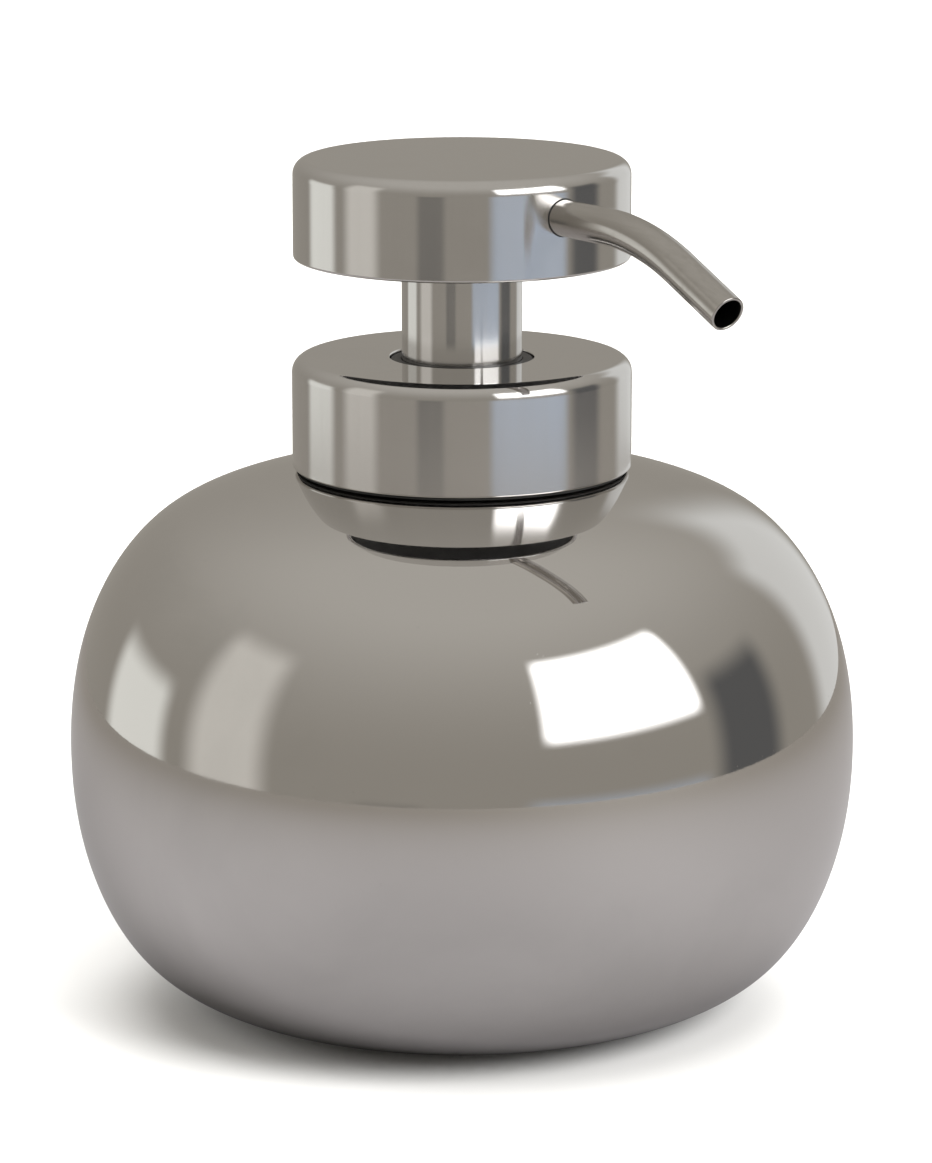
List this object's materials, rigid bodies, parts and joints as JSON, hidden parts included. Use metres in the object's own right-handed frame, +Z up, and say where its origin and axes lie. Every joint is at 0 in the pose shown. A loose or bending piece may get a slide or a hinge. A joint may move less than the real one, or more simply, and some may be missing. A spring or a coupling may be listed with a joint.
{
  "type": "soap pump dispenser",
  "caption": "Squat rounded steel soap dispenser with a screw-on collar and a spring-returned pump head with a bent spout tube.",
  "frame": {"origin": "centre of the base, on the surface that the dispenser stands on", "axes": "+Z up along the pump's axis, +X towards the spout's mouth"},
  "size_m": [0.1096, 0.1054, 0.1145],
  "materials": {
    "mirror_steel": "mirror-polished stainless steel with a faint smoky tint",
    "polished_steel": "polished stainless steel with faint turning lines round the sides",
    "spout_steel": "satin drawn stainless tube",
    "turned_steel": "machined stainless steel",
    "spring_steel": "drawn stainless spring wire",
    "ball_steel": "polished bearing ball",
    "white_plastic": "moulded polypropylene, slightly satin",
    "clear_plastic": "natural translucent polyethylene",
    "black_plastic": "moulded black polypropylene",
    "black_rubber": "black silicone rubber",
    "soft_pad": "dense dark foam rubber",
    "foam_washer": "white polyethylene foam"
  },
  "bodies": {
    "bottle": {"body_upper": "mirror_steel", "body_lower": "mirror_steel", "base_plate": "mirror_steel", "foot_pad": "soft_pad", "neck_ring": "turned_steel"},
    "pump_engine": {"pump_housing": "white_plastic", "cylinder_cap": "white_plastic", "flange_gasket": "foam_washer", "guide_bush": "black_plastic", "ball_cage": "white_plastic", "dip_tube": "clear_plastic"},
    "collar": {"collar_shell": "polished_steel", "collar_liner": "black_plastic", "collar_gasket": "black_rubber"},
    "inlet_ball": {"inlet_ball": "ball_steel"},
    "piston": {"piston": "clear_plastic", "return_spring": "spring_steel"},
    "head": {"head_shell": "polished_steel", "head_base": "black_plastic", "stem_sleeve": "polished_steel", "head_core": "white_plastic", "stem": "white_plastic", "spout_tube": "spout_steel", "spout_seal": "black_rubber"},
    "outlet_ball": {"outlet_ball": "ball_steel"}
  },
  "joints": [
    {"name": "pump_rise", "type": "slide", "parent": "bottle", "child": "pump_engine", "axis": [0, 0, 1], "range_m": [0, 0.0045]},
    {"name": "collar_turn", "type": "hinge", "parent": "pump_engine", "child": "collar", "pos_m": [0, 0, 0.08], "axis": [0, 0, 1], "range_deg": [0, 540]},
    {"name": "pump_press", "type": "slide", "parent": "pump_engine", "child": "piston", "axis": [0, 0, 1], "range_m": [-0.012, 0], "stiffness_N_per_m": 600, "springref_m": 0.01, "deforming": ["return_spring"]},
    {"name": "head_swivel", "type": "hinge", "parent": "piston", "child": "head", "pos_m": [0, 0, 0.1], "axis": [0, 0, 1], "continuous": true},
    {"name": "inlet_ball_lift", "type": "slide", "parent": "pump_engine", "child": "inlet_ball", "axis": [0, 0, 1], "range_m": [0, 0.0015]},
    {"name": "outlet_ball_lift", "type": "slide", "parent": "head", "child": "outlet_ball", "axis": [0, 0, 1], "range_m": [0, 0.001]}
  ],
  "couplings": [
    {"joint": "collar_turn", "follows": "pump_rise", "rad_per_m": 2094.4}
  ]
}
